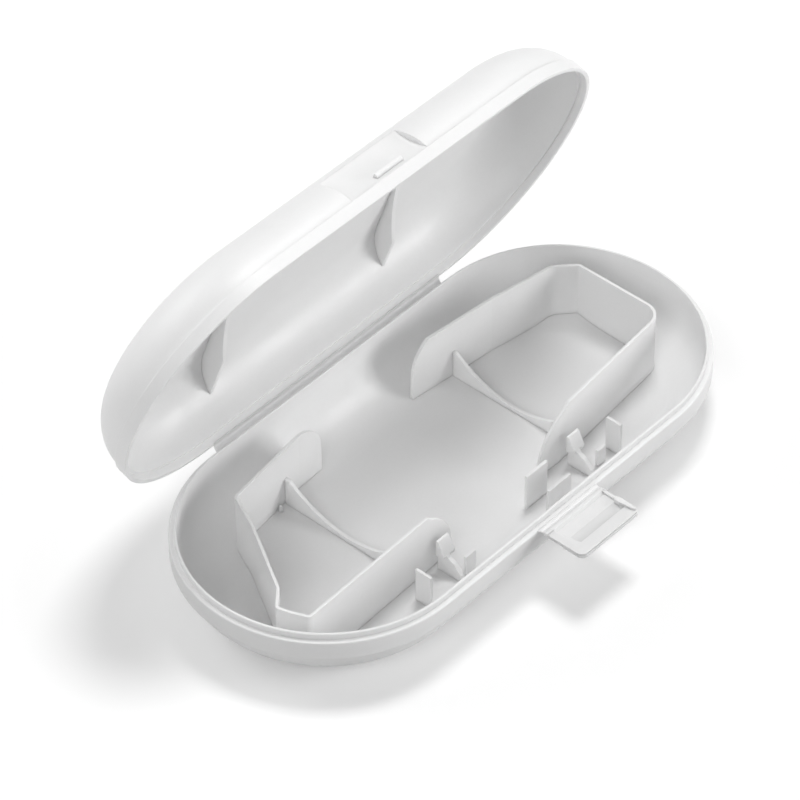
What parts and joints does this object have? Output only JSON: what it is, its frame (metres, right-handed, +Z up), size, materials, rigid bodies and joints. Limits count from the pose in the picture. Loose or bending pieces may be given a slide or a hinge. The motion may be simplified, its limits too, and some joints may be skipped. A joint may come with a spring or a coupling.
{
  "type": "water flosser travel case",
  "caption": "Stadium-shaped hinged plastic travel case with two moulded cradles, spray tip holders and a snap tab, for carrying a water flosser",
  "frame": {"origin": "middle of the flat underside of the tray, on the surface that the case rests on", "axes": "+X along the case, +Y towards the film hinge, +Z up; the snap tab is at -Y; the lid stands open at rest"},
  "size_m": [0.24, 0.1525, 0.1363],
  "materials": {
    "white_shell": "satin moulded polypropylene",
    "white_insert": "satin moulded polypropylene, thin walls",
    "white_film": "thin flexed polypropylene film",
    "white_tab": "satin moulded polypropylene"
  },
  "bodies": {
    "tray": {"base_shell": "white_shell", "right_cradle": "white_insert", "left_cradle": "white_insert", "right_saddle_rib": "white_insert", "left_saddle_rib": "white_insert", "right_tip_wall": "white_insert", "right_tip_sill": "white_insert", "right_tip_stub": "white_insert", "right_tip_stop": "white_insert", "left_tip_stop": "white_insert", "left_tip_sill": "white_insert", "right_tip_clip": "white_insert", "left_tip_clip": "white_insert", "floor_peg": "white_insert", "base_hinge_strip": "white_film", "tray_tab_strip": "white_film"},
    "lid": {"lid_shell": "white_shell", "lid_right_rib": "white_insert", "lid_left_rib": "white_insert", "catch_bead": "white_shell", "lid_hinge_strip": "white_film"},
    "tab": {"latch_tab": "white_tab", "tab_catch_pad": "white_tab", "tab_side_rail": "white_tab", "tab_hinge_strip": "white_film"}
  },
  "joints": [
    {"name": "lid_hinge", "type": "hinge", "parent": "tray", "child": "lid", "pos_m": [0, 0.0584, 0.02565], "axis": [1, 0, 0], "range_deg": [-109.3, 70.7]},
    {"name": "tab_hinge", "type": "hinge", "parent": "tray", "child": "tab", "pos_m": [0, -0.0579, 0.0248], "axis": [1, 0, 0], "range_deg": [-95, 85]}
  ]
}
